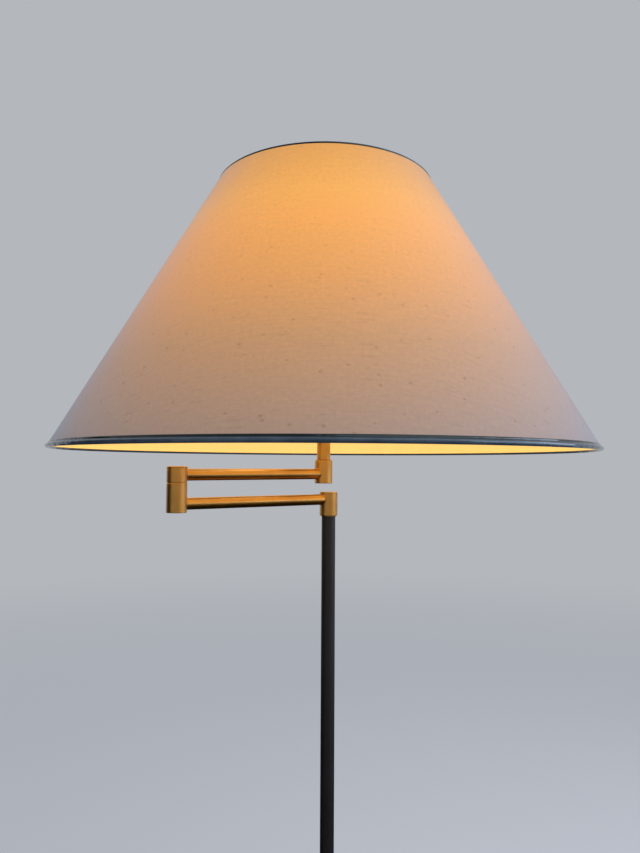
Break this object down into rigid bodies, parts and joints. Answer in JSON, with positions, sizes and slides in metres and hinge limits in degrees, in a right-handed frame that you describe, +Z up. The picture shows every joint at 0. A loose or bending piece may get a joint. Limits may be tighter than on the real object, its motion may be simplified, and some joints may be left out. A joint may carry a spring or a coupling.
{
  "type": "swing-arm floor lamp",
  "caption": "Slim black floor lamp with a brass folding swing arm, harp and lampholder under a lit low conical fabric shade with black trim.",
  "frame": {"origin": "on the floor under the base, on the axis of the pole", "axes": "+Z up along the pole; -X along the lower arm at rest; +Y towards the cord inlet at the back of the base"},
  "size_m": [0.5, 0.5, 1.4064],
  "materials": {
    "felt": "pressed wool felt",
    "cast_iron": "as cast, primed",
    "black_enamel": "satin black powder coat",
    "moulded_gland": "moulded, fine matt",
    "zinc_plated_steel": "turned, zinc plated",
    "brass": "polished and lacquered",
    "fibre_liner": "vulcanised fibre",
    "moulded_core": "moulded phenolic",
    "aluminium": "rolled, bright",
    "frosted_glass": "frosted inside, lit",
    "vitrite": "fused black glass",
    "shade_fabric": "natural linen on a clear backing, lit from inside",
    "brassed_wire": "drawn wire, brassed",
    "black_trim": "glossy black binding"
  },
  "bodies": {
    "stand": {"felt_pad": "felt", "base_weight": "cast_iron", "base_cover": "black_enamel", "cord_gland": "moulded_gland", "base_washer": "zinc_plated_steel", "base_nut": "zinc_plated_steel", "base_tube": "zinc_plated_steel", "pole_collar": "brass", "pole_foot_plug": "zinc_plated_steel", "pole_lower": "black_enamel", "pole_coupler": "black_enamel", "pole_upper": "black_enamel", "pole_top_plug": "zinc_plated_steel", "lower_pivot_tube": "zinc_plated_steel", "pole_washer": "brass", "lower_spring_washer": "zinc_plated_steel", "lower_pivot_nut": "zinc_plated_steel"},
    "lower_arm": {"lower_hub": "brass", "lower_hub_cap": "brass", "lower_arm_tube": "brass", "elbow_lower_hub": "brass", "elbow_bottom_cap": "brass"},
    "upper_arm": {"elbow_washer": "brass", "elbow_pivot_tube": "zinc_plated_steel", "elbow_spring_washer": "zinc_plated_steel", "elbow_pivot_nut": "zinc_plated_steel", "elbow_upper_hub": "brass", "elbow_top_cap": "brass", "upper_arm_tube": "brass", "end_hub": "brass", "end_button": "brass"},
    "lamp_head": {"stem_washer": "brass", "stem_spring_washer": "zinc_plated_steel", "stem_nut": "zinc_plated_steel", "stem_tube": "zinc_plated_steel", "stem": "brass", "harp_saddle": "brass", "harp": "brass", "harp_stud": "brass", "harp_ferrule_a": "brass", "harp_ferrule_b": "brass", "holder_cap": "brass", "holder_shell": "brass", "holder_liner": "fibre_liner", "holder_core": "moulded_core", "screw_shell": "aluminium", "centre_contact": "brass", "bulb_glass": "frosted_glass", "bulb_cap": "aluminium", "bulb_insulator": "vitrite", "bulb_tip": "zinc_plated_steel", "shade_panel": "shade_fabric", "shade_spider": "brassed_wire", "shade_bottom_wire": "brassed_wire", "shade_top_trim": "black_trim", "shade_bottom_trim": "black_trim", "finial": "brass"},
    "switch": {"switch_key": "brass"}
  },
  "joints": [
    {"name": "lower_swing", "type": "hinge", "parent": "stand", "child": "lower_arm", "pos_m": [0, 0, 1.10373], "axis": [0, 0, 1], "range_deg": [-170, 170]},
    {"name": "elbow_swing", "type": "hinge", "parent": "lower_arm", "child": "upper_arm", "pos_m": [-0.155, 0, 1.12093], "axis": [0, 0, 1], "range_deg": [-170, 170]},
    {"name": "stem_swivel", "type": "hinge", "parent": "upper_arm", "child": "lamp_head", "pos_m": [-0.00021, 0.00811, 1.14073], "axis": [0, 0, 1], "range_deg": [-170, 170]},
    {"name": "switch_turn", "type": "hinge", "parent": "lamp_head", "child": "switch", "pos_m": [-0.00021, -0.01389, 1.18303], "axis": [0, -1, 0], "continuous": true}
  ]
}
